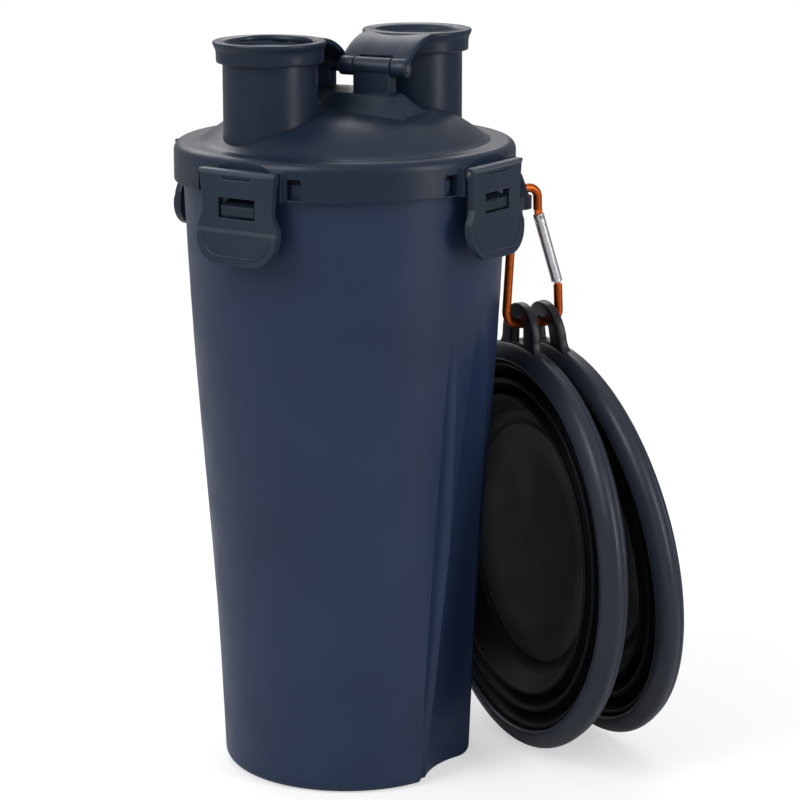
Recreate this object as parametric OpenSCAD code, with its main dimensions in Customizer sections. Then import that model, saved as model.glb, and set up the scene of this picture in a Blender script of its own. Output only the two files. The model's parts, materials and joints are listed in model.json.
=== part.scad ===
// Dog travel bottle with two chambers, two flip-cap spouts and two folding bowls on a snap hook.
// Origin: centre of the bottle's foot. +Z up. Millimetres.

/* [Bottle] */
// Radius of the bottle at its foot
foot_r = 40.5; // [38:0.5:43]
// Radius of the bottle at its mouth
mouth_r = 51.7; // [50.5:0.1:52.5]
// Height of the bottle's rim
body_h = 199.5; // [185:0.5:215]
// Wall of the bottle
body_wall = 2; // [1.6:0.1:2.6]
// Rounding under the foot
foot_round = 3.5; // [2:0.5:5]
// How far the side sways in below and out above a straight taper
side_sway = 0.6; // [0:0.1:1]
// Wall between the two chambers
divider_wall = 2; // [1.6:0.1:3]
// Depth of the grip hollow at the foot
hollow_depth = 7.5; // [4:0.5:9]
// Depth of the step beside the grip hollow at the foot
step_depth = 4.5; // [2:0.5:6]

/* [Lid] */
// Radius of the lid's skirt
lid_r = 54.5; // [54:0.1:56]
// Height of the skirt's straight side
skirt_h = 8.9; // [7:0.1:11]
// Rounding of the skirt's top edge
skirt_round = 3; // [2:0.5:4]
// Wall of the lid
lid_wall = 2.2; // [1.8:0.1:3]
// Rise of the dome above the lid's shelf
dome_h = 10.7; // [8:0.1:13]
// Outer radius of a spout
spout_r = 14.8; // [13:0.1:16]
// Wall of a spout
spout_wall = 2.4; // [1.8:0.1:3]
// Height of the spouts above the shelf
spout_h = 27.2; // [24:0.1:32]

/* [Flip caps] */
// Wall of a cap's collar
cap_wall = 2.1; // [1.6:0.1:2.6]
// Height of a cap's collar
cap_h = 6.8; // [6:0.1:8]
// Width of the strap and hinge of a cap
strap_w = 23.6; // [21:0.2:23.6]
// Radius of the hinge knuckles
knuckle_r = 3; // [2.6:0.1:3.2]
// Radius of the hinge pins
hinge_pin_r = 1.2; // [0.8:0.1:1.5]
// Width of the post between a cap's knuckles
post_w = 12.6; // [10:0.2:15]

/* [Side clips] */
// Width of a clip at its hinge
clip_w = 28; // [25:0.5:29]
// Width of a clip at its waist
clip_waist_w = 25.8; // [24:0.2:27]
// Width of a clip's thumb tab
clip_tab_w = 30; // [29:0.5:33]
// Rounding of the thumb tab's corners
clip_tab_round = 9; // [7:0.5:11]
// Length of a clip below its hinge
clip_len = 27.5; // [26:0.5:30]
// Thickness of a clip
clip_t = 2.4; // [2:0.1:3]
// Width of the window that takes the catch
window_w = 13.8; // [11:0.2:16]
// Height of that window
window_h = 6.4; // [6:0.1:7]

/* [Snap hook] */
// Radius of the hook's rod
rod_r = 1.45; // [1.2:0.05:1.5]
// Thickness of the lug that the hook hangs from
lug_t = 4; // [3:0.1:4]
// Width of the bar between the lug's hole and its tip
lug_bar = 3; // [2.5:0.1:3]
// Thickness of the lug's rib
lug_rib_t = 2; // [1.6:0.1:2.4]

/* [Bowls] */
// Radius of a bowl
bowl_r = 68.5; // [64:0.5:68.5]
// Thickness of the rim
rim_t = 8.5; // [7:0.1:8.5]
// Width of the rim across its face
rim_w = 6.5; // [6:0.1:8]
// Height of one folding band
band_h = 9; // [8:0.1:9.3]
// Wall of the bands
band_wall = 1.5; // [1.2:0.1:1.8]
// Taper of one band over its height
band_taper = 3.8; // [3:0.1:4.4]
// Thickness of the hanging tab
tab_t = 3.2; // [2.6:0.1:3.4]
// Radius of the hanging tab
tab_r = 11; // [9:0.5:13]
// Lean of the back bowl
back_lean = 8; // [7:0.5:12]

/* [Hidden] */
$fn = 96;

// Colours, as the object shows them
navy = [0.13, 0.17, 0.25];
navy_rim = [0.12, 0.14, 0.19];
charcoal = [0.08, 0.085, 0.10];
orange = [0.85, 0.27, 0.05];
silver = [0.78, 0.79, 0.80];
seal_grey = [0.75, 0.76, 0.78];
steel = [0.60, 0.61, 0.62];

// Angles are measured from the front (-Y) towards the right (+X)
divider_turn = 38;
hollow_turn = 24;
step_turn = 6;
clip_turn = 11;
clip_turns = [-45, 45, 135, 225];
lug_turn = 99.5;
hang_turn = 115;
cap_turn = -26.6;

// Clearances
fit_gap = 0.3;
pin_gap = 0.05;
eps = 0.01;

// ---- bottle ----
side_steps = 14;
hollow_r = 30;
step_r = 5;
fade_z = 150;

// Radius of the side at a height: a straight taper with a slow sway
function side_r(z) = foot_r + (mouth_r - foot_r) * z / body_h - side_sway * sin(360 * z / body_h);
side_z = [for (i = [0:side_steps]) foot_round + (body_h - foot_round) * i / side_steps];

// ---- lid ----
gasket_t = 1.8;
seat_z = body_h + gasket_t;
skirt_z = seat_z - 6.6;
skirt_top = skirt_z + skirt_h;
shelf_z = skirt_top + skirt_round;
skirt_in_r = mouth_r + 0.5;
dome_r = lid_r - 8;
dome_steps = 16;
spout_top = shelf_z + spout_h;
spout_x = 12.5;
spout_y = 26;

// Height of the dome's outer skin at a radius: a broad bell that runs out level into the shelf
function dome_z(r) = shelf_z + dome_h * pow(1 - pow(min(1, r / dome_r), 4.6), 1.3);

// ---- flip caps ----
hinge_y = 3.6;
hinge_z = spout_top - 3.4;
cap_in_r = spout_r + fit_gap;
cap_r = cap_in_r + cap_wall;
cap_bottom = spout_top - 0.8;
cap_top = cap_bottom + cap_h;
cap_plate = 2;
dish_depth = 2.5;
plug_flange = cap_top - dish_depth - cap_plate - spout_top;
plug_h = 3;
plug_lip = 1.6;
plug_r = spout_r - spout_wall - fit_gap;
strap_t = 2.2;
strap_top_y = spout_y - 12;
strap_end_y = -hinge_y - 1.9;
strap_drop = cap_top - (hinge_z + 0.6);
strap_run = strap_top_y - strap_end_y;
strap_r = (strap_run * strap_run + strap_drop * strap_drop) / (2 * strap_drop);
post_t = 5;
bridge_rise = 5;

// ---- clips ----
bead_r = 1.75;
clip_pin_r = 0.8;
clip_knuckle_w = 10;
clip_axis_r = lid_r + 1.25;
clip_axis_z = skirt_top - bead_r - 0.05;
clip_in_r = clip_axis_r + bead_r - clip_t;
window_z = skirt_z + fit_gap - window_h;
catch_gap = 0.6;
catch_back = 0.5;
waist_z = skirt_z - 3.6;
pad_w = clip_w + 1.4;

// ---- hook, in the plane that hangs beside the bottle ----
hang_y = -15;
bar_x = 57.3;
bar_z = skirt_z - 10.1;
lug_z = bar_z - lug_t / 2;
crook_r = 4.2;
lug_hole_r = 2.6;
lug_hole_x = bar_x - 2;
wire_z = bar_z - 40.6;
hinge_end = [61.7, bar_z - 3];
gate_pin = [62.2, bar_z - 5.4];
nose_end = [69.5, wire_z + 12.2];
gate_r = 1.8;
tongue_t = 1.3;
slot_t = 1.7;
gate_pin_r = 0.55;
spine_low = 50.4;
wire_end = 70;
rod_route = [
    hinge_end,
    [bar_x + crook_r, bar_z + crook_r],
    [bar_x - crook_r, bar_z + crook_r],
    [spine_low, wire_z],
    [wire_end, wire_z],
    nose_end
];
rod_bends = [0, crook_r - 1, crook_r - 1, 4.5, 3.5, 0];
gate_back = 1;
spring_r = 0.85;
spring_from = 3.2;
spring_len = 8;

// ---- bowls ----
front_tab_x = 56.2;
back_tab_x = front_tab_x + rim_t + 0.6;
tab_mid = rim_t / 2;
tab_reach = 6.5;
tab_ring = 4;
bowl_drop = bowl_r + tab_reach;
lip_in_r = bowl_r - rim_w;
band_gap = 0.35;
band_start = 1.5;
bead = 0.8;
web_t = 0.9;
band_step = band_taper + band_wall + band_gap;
outer_band_r = lip_in_r - band_gap;
inner_band_r = outer_band_r - band_step;
floor_r = inner_band_r - band_step;
floor_t = 1.6;
tab_hole_r = 3.7;
hang_gap = 0.45;
tab_hole_top = bowl_drop + rod_r + hang_gap - tab_hole_r;
tab_hole_low = bowl_r + 0.3;

// ================= helpers =================

// Turns +X to an angle measured from the front
module turned(angle) {
    rotate([0, 0, angle - 90]) children();
}

// The frame of one cap: x along its hinge, y from the hinge to its spout
module cap_frame(side) {
    rotate([0, 0, cap_turn + (side > 0 ? 0 : 180)]) translate([spout_x, 0, 0]) children();
}

// The upright plane that the hook and the bowls hang in
module hang_frame() {
    turned(hang_turn) translate([0, hang_y, 0]) children();
}

// A bowl's own frame: lip plane at z = 0, depth along +z, its tab towards -x
module bowl_frame(tab_x, lean) {
    hang_frame() translate([tab_x, 0, wire_z]) rotate([0, -lean, 0])
        translate([-tab_mid, 0, -bowl_drop]) rotate([0, 90, 0]) children();
}

// A bar from one point of the hook's plane to another
module rod(a, b, r) {
    run = b - a;
    translate([a[0], 0, a[1]]) rotate([0, atan2(run[0], run[1]), 0]) cylinder(h = norm(run), r = r);
}

function unit(v) = v / norm(v);
function bend_half(route, i) =
    let(a = unit(route[i - 1] - route[i]), b = unit(route[i + 1] - route[i]))
    acos(max(-1, min(1, a * b))) / 2;
// The point where a bend's arc leaves the straight towards the point before or after it
function bend_point(route, bends, i, way) =
    bends[i] == 0 ? route[i]
    : route[i] + unit(route[i + way] - route[i]) * bends[i] / tan(bend_half(route, i));

// A round rod along straight runs joined by arcs, with a faint swell where an arc begins or ends
module bent_rod(route, bends, r) {
    last = len(route) - 1;
    short = 0.1;
    swell = 0.03;
    for (i = [0:last - 1]) {
        from = bend_point(route, bends, i, 1);
        to = bend_point(route, bends, i + 1, -1);
        ahead = unit(to - from) * short;
        rod(from + ahead * sign(bends[i]), to - ahead * sign(bends[i + 1]), r);
    }
    for (i = [1:last - 1]) {
        half = bend_half(route, i);
        middle = unit(unit(route[i - 1] - route[i]) + unit(route[i + 1] - route[i]));
        centre = route[i] + middle * bends[i] / sin(half);
        sweep = 180 - 2 * half;
        aim = atan2(-middle[1], -middle[0]);
        translate([centre[0], 0, centre[1]]) rotate([90, 0, 0])
            rotate([0, 0, aim - sweep / 2])
                rotate_extrude(angle = sweep) translate([bends[i], 0]) circle(r = r, $fn = 32);
        for (way = [-1, 1]) {
            end = bend_point(route, bends, i, way);
            translate([end[0], 0, end[1]]) sphere(r = r + swell, $fn = 48);
        }
    }
}

// ================= bottle =================

module side_profile(inset, floor_z, top_z) {
    polygon(concat(
        [[0, floor_z], [side_r(foot_round) - foot_round, floor_z]],
        [for (z = side_z) if (z > floor_z + eps) [side_r(z) - inset, z]],
        top_z > body_h ? [[mouth_r - inset, top_z]] : [],
        [[0, max(top_z, body_h)]]
    ));
}

// The tapered outside, with its rounded foot
module side_solid() {
    rotate_extrude() {
        polygon(concat(
            [[0, 0], [side_r(foot_round) - foot_round, 0]],
            [for (z = side_z) [side_r(z), z]],
            [[0, body_h]]
        ));
        translate([side_r(foot_round) - foot_round, foot_round]) circle(r = foot_round);
    }
}

// A tilted rod that cuts deepest at the foot and fades out at fade_z
module fading_rod(angle, r, depth) {
    low = side_r(0) + r - depth;
    high = side_r(fade_z) + r;
    tilt = atan2(high - low, fade_z);
    turned(angle) translate([low, 0, 0]) rotate([0, tilt, 0]) children();
}

// The hollows and steps on both edges of the food chamber, grown by a margin
module grip_cuts(margin) {
    for (side = [-1, 1]) {
        from = divider_turn + (side > 0 ? 0 : 180);
        fading_rod(from + side * hollow_turn, hollow_r, hollow_depth)
            translate([0, 0, -40]) cylinder(h = 230, r = hollow_r + margin);
        fading_rod(from + side * step_turn, step_r, step_depth)
            translate([0, 0, -40]) cylinder(h = 230, r = step_r + margin);
    }
}

// One chamber: the inside of the wall on one side of the divider
module chamber(side) {
    intersection() {
        rotate_extrude() side_profile(body_wall, body_wall, body_h + 1);
        turned(divider_turn + 90 * side)
            translate([divider_wall / 2, -80, 0]) cube([80, 160, body_h + 2]);
    }
}

// A catch in each clip's window, all of it below the lid's skirt
module catches() {
    low = window_z + catch_gap;
    top = skirt_z - fit_gap;
    root = mouth_r - 0.75 * body_wall;
    reach = clip_axis_r + bead_r - catch_back;
    for (angle = clip_turns) turned(clip_turn + angle)
        rotate([90, 0, 0]) linear_extrude(height = window_w - 2 * catch_gap, center = true)
            polygon([
                [root, low], [reach, low], [reach, low + (top - low) * 0.6], [root + 1.2, top], [root, top]
            ]);
}

module hook_lug() {
    turned(lug_turn) translate([0, 0, lug_z]) {
        tip_x = lug_hole_x + lug_hole_r + lug_bar;
        end_r = 5.6;
        difference() {
            union() {
                translate([tip_x - end_r, 0, 0]) cylinder(h = lug_t, r = end_r);
                translate([mouth_r - 2, -end_r - 1.5, 0])
                    cube([tip_x - end_r - mouth_r + 2, 2 * end_r + 3, lug_t]);
                // rib beside the wire, up to the lid's skirt
                rib_top = skirt_z - fit_gap - lug_z;
                translate([0, -lug_hole_r - 0.6, 0]) rotate([90, 0, 0]) linear_extrude(height = lug_rib_t)
                    polygon([
                        [mouth_r - 1.5, 0.3], [tip_x - 1.6, 0.3], [tip_x - 1.6, lug_t],
                        [tip_x - 2.8, lug_t + 3.7], [tip_x - 4.3, rib_top], [mouth_r - 1.5, rib_top]
                    ]);
            }
            translate([lug_hole_x, 0, -1]) cylinder(h = lug_t + 2, r = lug_hole_r);
        }
    }
}

module bottle_body() {
    color(navy) {
        difference() {
            union() {
                difference() {
                    side_solid();
                    grip_cuts(0);
                }
                catches();
                hook_lug();
            }
            chamber(-1);
            difference() {
                chamber(1);
                grip_cuts(body_wall);
            }
        }
    }
}

// ================= lid =================

module dome_profile(drop) {
    polygon(concat(
        [[0, seat_z]],
        [[dome_r - drop, seat_z], [dome_r - drop, shelf_z - drop]],
        [for (i = [1:dome_steps]) let(r = (dome_r - drop) * sqrt(1 - i / dome_steps))
            [r, dome_z(r * dome_r / (dome_r - drop)) - drop]]
    ));
}

module lid_skin() {
    rotate_extrude() {
        difference() {
            union() {
                translate([0, skirt_z]) square([lid_r, skirt_h]);
                translate([0, skirt_z]) square([lid_r - skirt_round, skirt_h + skirt_round]);
                translate([lid_r - skirt_round, skirt_top]) circle(r = skirt_round);
                dome_profile(0);
            }
            translate([-1, skirt_z - 1]) square([skirt_in_r + 1, seat_z - skirt_z + 1]);
            dome_profile(lid_wall);
        }
    }
}

// Flat pads that the straight clip hinges lie against
module clip_pads() {
    for (angle = clip_turns) turned(clip_turn + angle)
        translate([skirt_in_r + 0.3, -pad_w / 2, skirt_z])
            cube([clip_in_r - 0.5 - skirt_in_r - 0.3, pad_w, skirt_h]);
}

// What makes room for the clips' hinges, and the pockets beside them
module clip_cuts() {
    for (angle = clip_turns) turned(clip_turn + angle) {
        translate([clip_axis_r, 0, clip_axis_z]) rotate([90, 0, 0])
            cylinder(h = clip_w + 2 * fit_gap, r = bead_r + fit_gap, center = true);
        translate([clip_axis_r - bead_r - fit_gap, -clip_w / 2 - fit_gap, clip_axis_z])
            cube([10, clip_w + 2 * fit_gap, skirt_round + bead_r + 5]);
        for (side = [-1, 1]) translate([lid_r - 1.9, side * (pad_w / 2 + 2.4), skirt_z + 3.6])
            cube([10, 4.6, 6.4], center = true);
    }
}

// The lid's own knuckles, one in the middle of each clip hinge
module clip_knuckles() {
    web_h = bead_r + 0.7;
    for (angle = clip_turns) turned(clip_turn + angle) {
        translate([clip_axis_r, 0, clip_axis_z]) rotate([90, 0, 0])
            cylinder(h = clip_knuckle_w, r = bead_r, center = true);
        translate([skirt_in_r + 0.6, -clip_knuckle_w / 2, clip_axis_z - web_h / 2])
            cube([clip_axis_r - skirt_in_r - 0.6, clip_knuckle_w, web_h]);
    }
}

module clip_pin_bores(r) {
    for (angle = clip_turns) turned(clip_turn + angle)
        translate([clip_axis_r, 0, clip_axis_z]) rotate([90, 0, 0])
            cylinder(h = clip_knuckle_w + 1, r = r, center = true);
}

module hinge_post(side) {
    cap_frame(side) {
        translate([-post_w / 2, -hinge_y - post_t / 2, shelf_z + 3])
            cube([post_w, post_t, hinge_z - shelf_z - 3]);
        translate([0, -hinge_y, hinge_z]) rotate([0, 90, 0])
            cylinder(h = post_w, r = knuckle_r, center = true);
        translate([-spout_x + 1, -hinge_y - post_t / 2 - 1.5, shelf_z + 3])
            cube([spout_x + post_w / 2 - 1, hinge_y + post_t / 2 + 1.5, dome_h + bridge_rise - 3]);
    }
}

module lid_shell() {
    color(navy) difference() {
        union() {
            difference() {
                union() {
                    lid_skin();
                    clip_pads();
                    for (side = [-1, 1]) hinge_post(side);
                }
                clip_cuts();
            }
            clip_knuckles();
            // wall under the dome that keeps the two chambers apart
            intersection() {
                rotate_extrude() dome_profile(lid_wall / 2);
                turned(divider_turn) translate([0, 0, body_h])
                    cube([2 * dome_r, divider_wall, 80], center = true);
            }
        }
        clip_pin_bores(clip_pin_r);
        for (side = [-1, 1]) cap_frame(side) {
            translate([0, spout_y, seat_z - 1]) cylinder(h = spout_h, r = spout_r + pin_gap);
            translate([0, -hinge_y, hinge_z]) rotate([0, 90, 0])
                cylinder(h = post_w + 2, r = hinge_pin_r, center = true);
        }
    }
}

// A spout's tube, set through its hole in the dome
module spout(side) {
    color(navy) cap_frame(side) translate([0, spout_y, shelf_z - lid_wall]) difference() {
        cylinder(h = spout_h + lid_wall, r = spout_r);
        translate([0, 0, -1]) cylinder(h = spout_h + lid_wall + 2, r = spout_r - spout_wall);
    }
}

module lid_gasket() {
    gasket_out = mouth_r - 0.2;
    gasket_in = mouth_r - body_wall - 1.2;
    color(seal_grey) translate([0, 0, body_h]) {
        difference() {
            cylinder(h = gasket_t, r = gasket_out);
            translate([0, 0, -1]) cylinder(h = gasket_t + 2, r = gasket_in);
        }
        turned(divider_turn) translate([0, 0, gasket_t / 2])
            cube([2 * gasket_in + 0.5, divider_wall + 1, gasket_t], center = true);
    }
}

// ================= side clips =================

// Half the width of a clip on its way from the thumb tab (0) up to the waist (1)
function clip_half(t) = clip_tab_w / 2 - (clip_tab_w - clip_waist_w) / 2 * (3 * t * t - 2 * t * t * t);

// Outline of a clip seen from outside: it narrows to a waist, then widens into a rounded thumb tab
module clip_outline() {
    steps = 10;
    corner_x = clip_tab_w / 2 - clip_tab_round;
    corner_z = clip_axis_z - clip_len + clip_tab_round;
    side = concat(
        [for (i = [0:steps]) let(a = 90 * i / steps)
            [corner_x + clip_tab_round * sin(a), corner_z - clip_tab_round * cos(a)]],
        [for (i = [0:steps]) [clip_half(i / steps), corner_z + 2 + (waist_z - corner_z - 2) * i / steps]],
        [[clip_w / 2, clip_axis_z]]
    );
    polygon(concat(side, [for (i = [1:len(side)]) [-side[len(side) - i][0], side[len(side) - i][1]]]));
}

// Section of a clip from its hinge bead down to the flared thumb tab
module clip_section() {
    crease_z = skirt_z - 10.6;
    low_z = clip_axis_z - clip_len - 1;
    flare = 1.6;
    polygon([
        [clip_in_r, clip_axis_z], [clip_in_r, crease_z], [clip_in_r + flare, low_z],
        [clip_in_r + flare + clip_t, low_z], [clip_in_r + clip_t + 0.5, crease_z],
        [clip_in_r + clip_t, crease_z + 1.2], [clip_in_r + clip_t, clip_axis_z]
    ]);
}

module clip(angle) {
    color(navy) turned(clip_turn + angle) difference() {
        union() {
            difference() {
                intersection() {
                    rotate([90, 0, 0]) linear_extrude(height = 2 * clip_tab_w, center = true) clip_section();
                    translate([clip_in_r - 10, 0, 0]) rotate([90, 0, 90])
                        linear_extrude(height = 30) clip_outline();
                }
                translate([clip_in_r - 5, -window_w / 2, window_z]) cube([clip_t + 10, window_w, window_h]);
            }
            translate([clip_axis_r, 0, clip_axis_z]) rotate([90, 0, 0])
                cylinder(h = clip_w, r = bead_r, center = true);
        }
        translate([clip_axis_r, 0, clip_axis_z]) rotate([90, 0, 0]) {
            cylinder(h = clip_knuckle_w + 2 * fit_gap, r = bead_r + fit_gap, center = true);
            cylinder(h = clip_w + 2, r = clip_pin_r + pin_gap, center = true);
        }
    }
}

module clip_pin(angle) {
    color(steel) turned(clip_turn + angle) translate([clip_axis_r, 0, clip_axis_z]) rotate([90, 0, 0])
        cylinder(h = clip_w - 0.6, r = clip_pin_r, center = true);
}

// ================= flip caps =================

module strap_section() {
    intersection() {
        difference() {
            translate([strap_top_y, cap_top - strap_r]) circle(r = strap_r, $fn = 180);
            translate([strap_top_y, cap_top - strap_r]) circle(r = strap_r - strap_t, $fn = 180);
        }
        translate([strap_end_y, hinge_z - knuckle_r]) square([strap_run, 30]);
    }
}

module flip_cap(side) {
    lip_shift = 3;
    cap_frame(side) difference() {
        union() {
            translate([0, spout_y, cap_bottom]) cylinder(h = cap_h, r = cap_r);
            // thumb lip on the side away from the hinge
            translate([0, spout_y + lip_shift, cap_top - 3.2]) cylinder(h = 3.2, r = cap_r + 0.2);
            rotate([90, 0, 90]) linear_extrude(height = strap_w, center = true) strap_section();
            translate([0, -hinge_y, hinge_z]) rotate([0, 90, 0])
                cylinder(h = strap_w, r = knuckle_r, center = true);
        }
        translate([0, spout_y, cap_bottom - 1])
            cylinder(h = cap_top - dish_depth - cap_plate - cap_bottom + 1, r = cap_in_r);
        translate([0, spout_y, cap_top - dish_depth]) cylinder(h = dish_depth + 1, r = cap_r - 4);
        // room for the post's knuckle, and the bore for the pin
        translate([0, -hinge_y, hinge_z]) rotate([0, 90, 0]) {
            cylinder(h = post_w + 2 * fit_gap, r = knuckle_r + 0.5, center = true);
            cylinder(h = strap_w + 2, r = hinge_pin_r + pin_gap, center = true);
        }
        translate([-post_w / 2 - fit_gap, -hinge_y - 8, hinge_z - 12]) cube([post_w + 2 * fit_gap, 11, 12]);
    }
}

module cap_pin(side) {
    color(steel) cap_frame(side) translate([0, -hinge_y, hinge_z]) rotate([0, 90, 0])
        cylinder(h = strap_w, r = hinge_pin_r, center = true);
}

// Soft plug under a cap: a flange against the plate and a hollow lip in the spout
module cap_plug(side) {
    color(seal_grey) cap_frame(side) translate([0, spout_y, spout_top]) difference() {
        union() {
            translate([0, 0, fit_gap]) cylinder(h = plug_flange - fit_gap, r = spout_r - 0.2);
            translate([0, 0, -plug_h]) cylinder(h = plug_h + plug_flange, r = plug_r);
        }
        translate([0, 0, -plug_h - 1]) cylinder(h = plug_h + 1, r = plug_r - plug_lip);
    }
}

module water_cap() { color(navy) flip_cap(-1); }
module food_cap() { color(navy) flip_cap(1); }

// ================= snap hook =================

gate_aim = atan2(nose_end[0] - gate_pin[0], nose_end[1] - gate_pin[1]);
gate_len = norm(nose_end - gate_pin);

// A flat tongue in the hook's plane, from inside a rod's end to a rounded tip
module tongue(from, to, half_w) {
    ahead = unit(to - from);
    aside = [-ahead[1], ahead[0]] * half_w;
    rotate([90, 0, 0]) linear_extrude(height = tongue_t, center = true) {
        polygon([from + aside, to + aside, to - aside, from - aside]);
        translate(to) circle(r = half_w);
    }
}

module hook_body() {
    color(orange) hang_frame() difference() {
        union() {
            bent_rod(rod_route, rod_bends, rod_r);
            tongue(hinge_end + [0, 1], gate_pin, 1.2);
            tongue(nose_end - [0, 1], nose_end + [0, 1.6], 0.7);
        }
        translate([gate_pin[0], 0, gate_pin[1]]) rotate([90, 0, 0])
            cylinder(h = 10, r = gate_pin_r + pin_gap, center = true);
    }
}

module gate_frame() {
    hang_frame() translate([gate_pin[0], 0, gate_pin[1]]) rotate([0, gate_aim, 0]) children();
}

module hook_gate() {
    color(silver) gate_frame() difference() {
        translate([0, 0, -gate_back]) cylinder(h = gate_len, r = gate_r);
        for (end = [-3, gate_len - 2.8]) translate([-5, -slot_t / 2, end]) cube([10, slot_t, 6]);
        rotate([90, 0, 0]) cylinder(h = 10, r = gate_pin_r, center = true);
        translate([0, 0, 2]) cylinder(h = spring_from + spring_len - 2, r = spring_r + pin_gap);
    }
}

// The little spring that holds the gate shut, hidden in the gate's bore
module hook_gate_spring() {
    color(steel) gate_frame() translate([0, 0, spring_from]) cylinder(h = spring_len - fit_gap, r = spring_r);
}

module hook_gate_pin() {
    color(steel) hang_frame() translate([gate_pin[0], 0, gate_pin[1]]) rotate([90, 0, 0])
        cylinder(h = 2 * gate_r + 0.4, r = gate_pin_r, center = true);
}

// ================= bowls =================

module bowl_rim() {
    roll_r = rim_w / 2;
    difference() {
        union() {
            rotate_extrude($fn = 180) {
                translate([bowl_r - roll_r, roll_r]) circle(r = roll_r);
                translate([lip_in_r, roll_r]) square([rim_w - 1.2, rim_t - roll_r - 1]);
                translate([lip_in_r, roll_r]) square([rim_w - 2.2, rim_t - roll_r]);
                translate([bowl_r - 2.2, rim_t - 1]) circle(r = 1);
            }
            translate([0, 0, tab_mid - tab_t / 2]) difference() {
                union() {
                    translate([-bowl_drop + tab_ring, 0, 0]) cylinder(h = tab_t, r = tab_r);
                    translate([-bowl_drop + tab_ring, -tab_r, 0])
                        cube([tab_reach - tab_ring + rim_w / 2, 2 * tab_r, tab_t]);
                    translate([-bowl_r - 1.2, -tab_r - 2, 0]) cube([4, 2 * tab_r + 4, tab_t]);
                }
                translate([-tab_hole_top, 0, -1]) cylinder(h = tab_t + 2, r = tab_hole_r);
                translate([-tab_hole_top, -tab_hole_r, -1])
                    cube([tab_hole_top - tab_hole_low, 2 * tab_hole_r, tab_t + 2]);
            }
        }
        translate([0, 0, -1]) cylinder(h = rim_t + 2, r = lip_in_r, $fn = 180);
    }
}

// One folding band: a cone wall with a bead at its wide edge, and on the inner ones the
// folded web, which lies straight down from the bead to the narrow edge of the band outside it
module bowl_band(r, webbed) {
    translate([0, 0, band_start]) rotate_extrude($fn = 180) {
        polygon([
            [r, bead], [r - band_taper, band_h], [r - band_taper - band_wall, band_h],
            [r - band_wall, bead]
        ]);
        translate([r - bead, bead]) circle(r = bead, $fn = 24);
        if (webbed) translate([r - web_t, bead]) square([web_t, band_h - bead - 0.4]);
    }
}

module bowl_floor() {
    bowl_band(floor_r, true);
    translate([0, 0, band_start + band_h - floor_t]) cylinder(h = floor_t, r = floor_r - band_taper - 0.5);
}

module front_bowl(part) {
    bowl_frame(front_tab_x, 0) bowl_part(part);
}

module back_bowl(part) {
    bowl_frame(back_tab_x, back_lean) bowl_part(part);
}

module bowl_part(part) {
    if (part == "rim") color(navy_rim) bowl_rim();
    if (part == "outer") color(charcoal) bowl_band(outer_band_r, false);
    if (part == "inner") color(charcoal) bowl_band(inner_band_r, true);
    if (part == "floor") color(charcoal) bowl_floor();
}

// ================= nodes =================

bottle_body();
lid_shell();
lid_gasket();
spout(-1);  // water_spout_tube
spout(1);  // food_spout_tube
clip(clip_turns[0]);  // clip_front_left
clip(clip_turns[1]);  // clip_front_right
clip(clip_turns[2]);  // clip_back_right
clip(clip_turns[3]);  // clip_back_left
clip_pin(clip_turns[0]);  // clip_pin_front_left
clip_pin(clip_turns[1]);  // clip_pin_front_right
clip_pin(clip_turns[2]);  // clip_pin_back_right
clip_pin(clip_turns[3]);  // clip_pin_back_left
water_cap();
cap_pin(-1);  // water_cap_pin
cap_plug(-1);  // water_cap_plug
food_cap();
cap_pin(1);  // food_cap_pin
cap_plug(1);  // food_cap_plug
hook_body();
hook_gate();
hook_gate_pin();
hook_gate_spring();
front_bowl("rim");  // front_bowl_rim
front_bowl("outer");  // front_bowl_outer_band
front_bowl("inner");  // front_bowl_inner_band
front_bowl("floor");  // front_bowl_floor
back_bowl("rim");  // back_bowl_rim
back_bowl("outer");  // back_bowl_outer_band
back_bowl("inner");  // back_bowl_inner_band
back_bowl("floor");  // back_bowl_floor
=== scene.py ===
"""Dog travel bottle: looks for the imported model. Metres, +Z up, origin at the centre of the foot."""
import json
import math

import bmesh
import bpy
import numpy as np
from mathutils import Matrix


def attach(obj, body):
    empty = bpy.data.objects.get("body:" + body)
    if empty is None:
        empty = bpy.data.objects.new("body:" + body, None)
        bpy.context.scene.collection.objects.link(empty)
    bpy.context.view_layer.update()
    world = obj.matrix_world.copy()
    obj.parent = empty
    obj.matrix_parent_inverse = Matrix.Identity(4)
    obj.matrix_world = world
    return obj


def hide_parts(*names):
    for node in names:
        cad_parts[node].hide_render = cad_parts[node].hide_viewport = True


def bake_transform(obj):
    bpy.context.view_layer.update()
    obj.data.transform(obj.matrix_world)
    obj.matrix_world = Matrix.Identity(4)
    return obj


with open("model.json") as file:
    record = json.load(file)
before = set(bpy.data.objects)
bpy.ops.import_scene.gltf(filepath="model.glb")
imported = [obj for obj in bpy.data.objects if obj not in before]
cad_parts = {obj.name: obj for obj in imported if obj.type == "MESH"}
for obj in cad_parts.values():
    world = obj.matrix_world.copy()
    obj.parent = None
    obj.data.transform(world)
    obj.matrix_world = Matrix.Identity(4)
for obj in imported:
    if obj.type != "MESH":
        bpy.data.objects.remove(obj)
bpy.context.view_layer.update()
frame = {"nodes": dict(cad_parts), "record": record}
nodes = frame["nodes"]
joints = {row["name"]: row for row in frame["record"]["behaviour"]["joints"]}
MM = 0.001
TURNS = 200
SILICONE_EDGE, METAL_EDGE = 0.0004, 0.0002

# ---- camera, at the photograph's place ----

CAMERA_AT = (0.01753, -0.89907, 0.33686)
CAMERA_PITCH = 13.514
CAMERA_LENS = 127.76


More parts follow.
